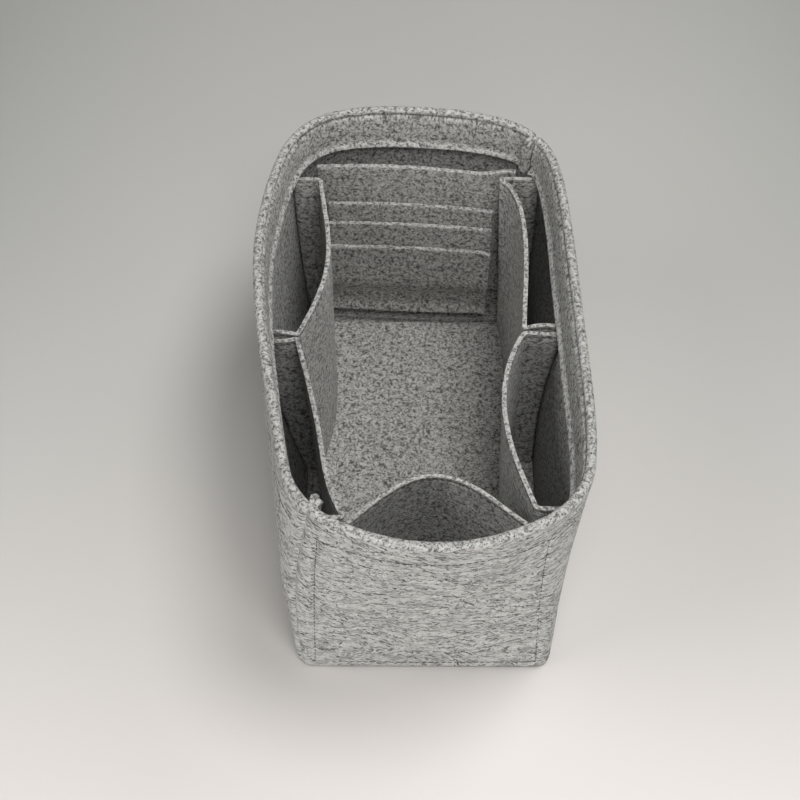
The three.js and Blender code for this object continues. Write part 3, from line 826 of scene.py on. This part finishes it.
@functools.lru_cache(maxsize=None)
def archEnds(z):
    start = wallXY(frontArch["leftInset"], z, sewnDepth)
    stop = wallXY(tub["width"] - frontArch["rightInset"], z, sewnDepth)
    return start, stop


def archPoint(t, z):
    start, stop = archEnds(z)
    peak = frontArch["reach"] - tub["length"] / 2 - (start[1] + stop[1]) / 2
    x, y = lerp(start, stop, t)
    return np.array((x, y + peak * math.sin(math.pi * t) ** frontArch["power"]))


def frontFoldY(strip, z):
    start = archPoint(0, z)[0]
    stop = archPoint(1, z)[0]
    t = min(1, max(0, (foldX(strip, "frontFold", z) - start) / (stop - start)))
    return archPoint(t, z)[1] + frontArch["endSlope"] * (felt + layerGap) + strip["frontClearance"]


def roundFold(before, at, after):
    reach = pocket["foldReach"]
    most = pocket["foldShare"]
    start = lerp(at, before, min(most, reach / np.linalg.norm(before - at)))
    end = lerp(at, after, min(most, reach / np.linalg.norm(after - at)))
    ts = np.linspace(0, 1, pocket["foldSteps"] + 1)
    return [start * (1 - t) ** 2 + at * 2 * t * (1 - t) + end * t * t for t in ts]


def divider(strip, start, end, bow, peak):
    count = pocket["bowSteps"]
    skew = math.log(0.5) / math.log(peak)
    spots = []
    for k in range(1, count):
        t = k / count
        x, y = lerp(start, end, t)
        inward = strip["side"] * bow * math.sin(math.pi * t ** skew)
        spots.append((np.array((x - inward, y)), False))
    return spots


def stripRun(strip, z):
    def onWall(y, foot=0):
        # the wall leans and bows, so a place on it is found by its own y
        place = y
        for k in range(pocket["wallTries"]):
            place += y - wallXY(sideStation(strip["side"], place), z, sewnDepth)[1]
        return wallXY(sideStation(strip["side"], place + foot), z, sewnDepth)

    pinch = (felt + layerGap) / 2
    eye = pinch + pocket["pleatEye"]
    rearY = rearFoldY(z) + atHeight(strip["rearSetBack"], z)
    frontY = frontFoldY(strip, z)
    place = strip["pleatPlace"]
    rear = np.array((foldX(strip, "rearFold", z), rearY))
    front = np.array((foldX(strip, "frontFold", z), frontY))
    pleatX = foldX(strip, "pleat", z)
    pleatRear = np.array((pleatX, place + pinch))
    pleatFront = np.array((pleatX, place - pinch))
    wallRear = onWall(place + eye)
    wallFront = onWall(place - eye)
    rearBulge, frontBulge = strip["pleatBulge"]

    def layer(start, end, bulge):
        spots = []
        for t in np.linspace(*pocket["layerStops"]):
            spots.append((lerp(start, end, t) + (0, bulge * math.sin(math.pi * t)), False))
        return spots

    # each stop is a place on the run, and whether the felt folds there
    stops = [(onWall(rearY, pocket["foot"]), False), (onWall(rearY), True), (rear, True)]
    stops += divider(strip, rear, pleatRear, atHeight(strip["rearBow"], z), strip["rearBowPeak"])
    stops += [(pleatRear, True), *layer(pleatRear, wallRear, rearBulge), (wallRear, True)]
    stops += [(wallFront, True), *layer(wallFront, pleatFront, frontBulge), (pleatFront, True)]
    stops += divider(strip, pleatFront, front, atHeight(strip["frontBow"], z), strip["frontBowPeak"])
    stops += [(front, True), (onWall(frontY), True), (onWall(frontY, -pocket["foot"]), False)]
    run = []
    for k, (at, isFold) in enumerate(stops):
        run += roundFold(stops[k - 1][0], at, stops[k + 1][0]) if isFold else [at]
    return np.array(run)


def archRun(z):
    start = frontArch["leftInset"] - pocket["foot"]
    stop = tub["width"] - frontArch["rightInset"] + pocket["foot"]
    arch = [archPoint(k / frontArch["steps"], z) for k in range(frontArch["steps"] + 1)]
    return np.array([wallXY(start, z, sewnDepth), *arch, wallXY(stop, z, sewnDepth)])


def runLength(run):
    return np.concatenate(([0], np.cumsum(np.linalg.norm(np.diff(run, axis=0), axis=1))))


def standingPlace(runAt, seed):
    margin = pocket["levelMargin"]
    heights = np.linspace(stripLow - margin, stripHigh + margin, pocket["levels"])
    runs = np.array([runAt(z) for z in heights])
    marks = runLength(runAt((stripLow + stripHigh) / 2))

    def place(u, z):
        row = (z - heights[0]) / (heights[1] - heights[0])
        low = np.clip(row.astype(int), 0, len(heights) - 2)
        part = np.clip(np.searchsorted(marks, u) - 1, 0, len(marks) - 2)
        t = ((u - marks[part]) / (marks[part + 1] - marks[part]))[:, None]
        lower = lerp(runs[low, part], runs[low, part + 1], t)
        upper = lerp(runs[low + 1, part], runs[low + 1, part + 1], t)
        xy = lerp(lower, upper, (row - low)[:, None])
        lift = smooth(z, stripLow + pocket["waverStart"], stripHigh) * pocket["waver"]
        waver = np.array([noise.noise(Vector((a / pocket["waverLength"], seed, 0))) for a in u])
        return np.column_stack((xy, z - lift * (1 + waver) / 2))

    return place, marks


def makeStanding(name, runAt, node, seed):
    place, marks = standingPlace(runAt, seed)
    row = stripHigh - pocket["topRow"]

    def press(u, v):
        return pocket["loft"] - pocket["topPress"] * bell(v - row, stitch["groove"])

    bm = bmesh.new()
    stretches = np.diff(marks)
    folds = [marks[k] for k in range(1, len(marks) - 1) if stretches[k] < pocket["tightStretch"]]
    us = gradedSteps(0, marks[-1], pocket["step"], folds, pocket["foldStep"])
    vs = gradedSteps(stripLow, stripHigh, pocket["upStep"], [row], pocket["rowStep"])
    addSheet(bm, us, vs, place, press)
    piece = finishSheet(name, bm, (pocketFelt, cutFelt), seed)
    hold(piece, node)
    rows = bmesh.new()
    stops = np.arange(pocket["rowEnds"], marks[-1] - pocket["rowEnds"], pocket["rowSample"])
    pressed = 1 - pocket["loft"] + pocket["topPress"]
    for side in (1, -1):
        addStitches(rows, place, stops, np.full(len(stops), row), pressed, side)
    finishStitches(name + "_thread", rows)


makeStanding("left_strip", lambda z: stripRun(leftStrip, z), "left_pocket_strip", seed=11)
makeStanding("right_strip", lambda z: stripRun(rightStrip, z), "right_pocket_strip", seed=13)
makeStanding("bowed_front_pocket", archRun, "front_pocket", seed=17)
print("pocket strips and front pocket made")


# card panel and its staggered slots
cards = {
    "width": 104 * mm,                 # of the panel
    "setBack": (10.3 * mm, 5 * mm),    # panel behind the strips' rear folds, at the floor and at the top
    "bow": (-1.5 * mm, 4 * mm),        # middle backwards
    "tilt": (1.4 * mm, 4 * mm),        # left end backwards, right end forwards
    "curl": (0, 6 * mm),               # right end back behind its strip, over the last share of the width
    "curlStart": 0.8,
    "overlaps": (2 * mm, 9 * mm),      # left and right, past the folds
    "foot": 5 * mm,
    "footFold": 2.6 * mm,              # the fold over the foot is rounded
    "footRound": (0.8 * mm, 0.5 * mm),   # forwards and up
    "sideGap": 0.6 * mm,
    "layerStep": 12 * mm,              # height over which a slot comes forward over another
    "mouthPuff": 0.34,                 # cut edges at the top are fluffed up
    "mouthReach": 4 * mm,
    "panelStep": 2.2 * mm,             # grids, and how fine the panel's is at its foot
    "footStep": 0.5 * mm,
    "slotStep": 2.0 * mm,
    "edgeFlare": (4.5 * mm, 5 * mm),   # the lowest slot's lower edge stands off: how far, from how high
    "endFlare": (1.4 * mm, 2.5 * mm),  # and so does its right end
    "slots": {
        "rear": (38 * mm, 88.5 * mm),      # lower edge and mouth
        "middle": (26 * mm, 77.5 * mm),
        "front": (13.5 * mm, 63.5 * mm),
    },
}
panelLow = 1.5 * felt + layerGap
panelHeight = stripHigh - panelLow


def panelEnds(z):
    left, right = cards["overlaps"]
    return foldX(leftStrip, "rearFold", z) - left, foldX(rightStrip, "rearFold", z) + right


def panelY(t, z):
    bow = atHeight(cards["bow"], z) * (1 - (2 * t - 1) ** 2)
    tilt = atHeight(cards["tilt"], z) * (1 - 2 * t)
    return rearFoldY(z) + atHeight(cards["setBack"], z) + bow + tilt


def panelPoint(t, z):
    curl = atHeight(cards["curl"], z) * smooth(t, cards["curlStart"], 1)
    return np.column_stack((lerp(*panelEnds(z), t), panelY(t, z) + curl, z))


def placePanel(u, v):
    t = u / cards["width"]
    z = panelLow + np.clip(v, 0, None)
    spots = panelPoint(t, z)
    spots[:, 1] += np.minimum(v, 0)
    corner = bell(v, cards["footFold"])
    forwards, up = cards["footRound"]
    spots[:, 1] -= forwards * corner
    spots[:, 2] += up * corner
    return spots


def mouthLoft(v, mouth):
    return pocket["loft"] + cards["mouthPuff"] * smooth(v, mouth - cards["mouthReach"], mouth)


def makePanel():
    bm = bmesh.new()
    us = gradedSteps(0, cards["width"], cards["panelStep"])
    vs = gradedSteps(-cards["foot"], panelHeight, cards["panelStep"], [0], cards["footStep"])
    addSheet(bm, us, vs, placePanel, lambda u, v: mouthLoft(v, panelHeight))
    piece = finishSheet("card_back_panel", bm, (pocketFelt, cutFelt), seed=19)
    hold(piece, "card_panel")


def makeSlot(kind, behind, seed):
    bottom, mouth = cards["slots"][kind]
    heights = np.array((stripLow, stripHigh))
    left = foldX(leftStrip, "rearFold", heights).max() + felt / 2 + cards["sideGap"]
    right = foldX(rightStrip, "rearFold", heights).min() - felt / 2 - cards["sideGap"]
    pitch = felt + 2 * layerGap

    def place(x, z):
        start, stop = panelEnds(z)
        t = (x - start) / (stop - start)
        layers = np.ones(len(x))
        for other in behind:
            edge = cards["slots"][other][0] - layerGap
            layers = layers + smooth(z, edge - cards["layerStep"], edge)
        y = panelY(t, z) - layers * pitch
        if kind == "front":
            edge, reach = cards["edgeFlare"]
            y = y - edge * bell(z - bottom, reach)
            edge, reach = cards["endFlare"]
            y = y - edge * bell(right - x, reach)
        return np.column_stack((x, y, z))

    bm = bmesh.new()
    us = gradedSteps(left, right, cards["slotStep"])
    vs = gradedSteps(bottom, mouth, cards["slotStep"])
    addSheet(bm, us, vs, place, lambda x, z: mouthLoft(z, mouth))
    piece = finishSheet("card_pocket_" + kind, bm, (pocketFelt, cutFelt), seed)
    hold(piece, "card_slot_" + kind)


makePanel()
makeSlot("rear", [], seed=23)
makeSlot("middle", ["rear"], seed=29)
makeSlot("front", ["middle", "rear"], seed=31)
print("card panel and slots made")


# base and floor pad
floorParts = {
    "lift": 0.25 * mm,         # base clear of what it stands on
    "rearGap": 20.1 * mm,      # pad short of the back wall
    "corner": 6.5 * mm,
    "step": 2.5 * mm,          # grid, and how fine it is at the edges
    "edgeStep": 1 * mm,
}


def makeFloorPart(name, node, low, back, seed):
    halfX = innerX - pocket["clearance"]
    front = -(innerY - pocket["clearance"])
    corner = floorParts["corner"]

    def place(x, y):
        # the square corners are drawn in to round ones
        a = np.clip((np.abs(x) - halfX + corner) / corner, 0, 1)
        middle = (front + back) / 2
        b = np.clip((np.abs(y - middle) - (back - front) / 2 + corner) / corner, 0, 1)
        far = np.hypot(a, b)
        share = np.where(far > 0, np.maximum(a, b) / np.maximum(far, 1e-9), 1)
        outX = np.sign(x) * (np.abs(x) - a * corner * (1 - share))
        outY = y - np.sign(y - middle) * b * corner * (1 - share)
        return np.column_stack((outX, outY, np.full(len(x), low + felt / 2)))

    bm = bmesh.new()
    xs = gradedSteps(-halfX, halfX, floorParts["step"], [-halfX, halfX], floorParts["edgeStep"])
    ys = gradedSteps(front, back, floorParts["step"], [front, back], floorParts["edgeStep"])
    addSheet(bm, xs, ys, place, fullLoft)
    piece = finishSheet(name, bm, (pocketFelt, cutFelt), seed)
    hold(piece, node)


baseBack = innerY - pocket["clearance"]
padBack = innerY - floorParts["rearGap"]
makeFloorPart("tub_base", "base_panel", floorParts["lift"], baseBack, seed=37)
makeFloorPart("loose_floor_pad", "floor_pad", felt + layerGap, padBack, seed=41)
print("floor made")


# pale floor with painted shade, darker towards the back and to the sides, and soft studio light
stage = {
    "floorSize": 8,
    "drop": 0.2 * mm,
    # painted shade: the floor's colour goes from near to far towards the back, and darker to the sides,
    # as the light falls off
    "near": (0.76, 0.72, 0.69),
    "far": (0.39, 0.395, 0.371),
    "nearY": -0.20,
    "farY": 0.42,
    "shadeFalloff": 2.4,
    "depth": 0.68,             # tone reached at the back in the middle
    "sides": 4.0,              # darker to the sides, with the square of the distance
    "cloud": (5.0, 0.06),      # faint unevenness: how often, how strong
    "roughness": 0.8,
    "specular": 0.2,
}
lamps = {
    "top": {"at": (0.3, 0.05, 1.3), "size": 0.5, "power": 7.0},
    "topFront": {"at": (0.1, -0.62, 1.3), "size": 0.6, "power": 6.2},
    "front": {"at": (0.0, -1.5, 0.2), "size": 0.7, "power": 12.3},
    "frontRight": {"at": (0.45, -0.95, 1.0), "size": 0.9, "power": 1.3},
    "right": {"at": (0.95, 0.0, 0.9), "size": 0.8, "power": 1.3},
    "left": {"at": (-0.95, -0.2, 0.9), "size": 0.8, "power": 4.8},
    "backRight": {"at": (0.6, 0.6, 1.0), "size": 0.6, "power": 2.4},
}
lampAim = (0, 0, 0.05)
ambient = (0.02, 0.02, 0.02)


def makeStage():
    bm = bmesh.new()
    bmesh.ops.create_grid(bm, x_segments=1, y_segments=1, size=stage["floorSize"] / 2)
    bmesh.ops.translate(bm, verts=bm.verts, vec=(0, 0, -stage["drop"]))
    mesh = bpy.data.meshes.new("paleFloor")
    bm.to_mesh(mesh)
    bm.free()
    n = NodeMaker("palePaperPaintedShade")
    spot = n.add("ShaderNodeTexCoord").outputs["Object"]
    x, y, z = n.add("ShaderNodeSeparateXYZ", {0: spot}).outputs
    # painted shade: the floor's colour darkens towards the back and to the sides
    nearToFar = {0: y, 1: stage["nearY"], 2: stage["farY"], 3: 1.0, 4: 0.0}
    near = n.add("ShaderNodeMapRange", nearToFar).outputs[0]
    tone = n.math("SUBTRACT", 1.0, n.math("POWER", near, stage["shadeFalloff"]))
    sides = n.math("MULTIPLY_ADD", n.math("MULTIPLY", x, x), stage["sides"], stage["depth"])
    tone = n.math("MULTIPLY", tone, sides)
    often, strength = stage["cloud"]
    tone = n.math("MULTIPLY_ADD", n.noise(spot, often), strength, tone)
    shade = n.mix(tone, colour(stage["near"]), colour(stage["far"]))
    mesh.materials.append(n.surface({
        "Base Color": shade, "Roughness": stage["roughness"], "Specular IOR Level": stage["specular"]}))
    floor = bpy.data.objects.new("paleFloor", mesh)
    scene.collection.objects.link(floor)


def makeLights():
    for name, lamp in lamps.items():
        data = bpy.data.lights.new(name, "AREA")
        data.shape = "DISK"
        data.size = lamp["size"]
        data.energy = lamp["power"]
        light = bpy.data.objects.new(name, data)
        light.location = lamp["at"]
        aim = Vector(lampAim) - Vector(lamp["at"])
        light.rotation_euler = aim.to_track_quat("-Z", "Y").to_euler()
        scene.collection.objects.link(light)
    world = bpy.data.worlds.new("softRoom")
    world.use_nodes = True
    world.node_tree.nodes["Background"].inputs["Color"].default_value = colour(ambient)
    world.node_tree.nodes["Background"].inputs["Strength"].default_value = 1.0
    scene.world = world


makeStage()
makeLights()
print("stage and lights made")
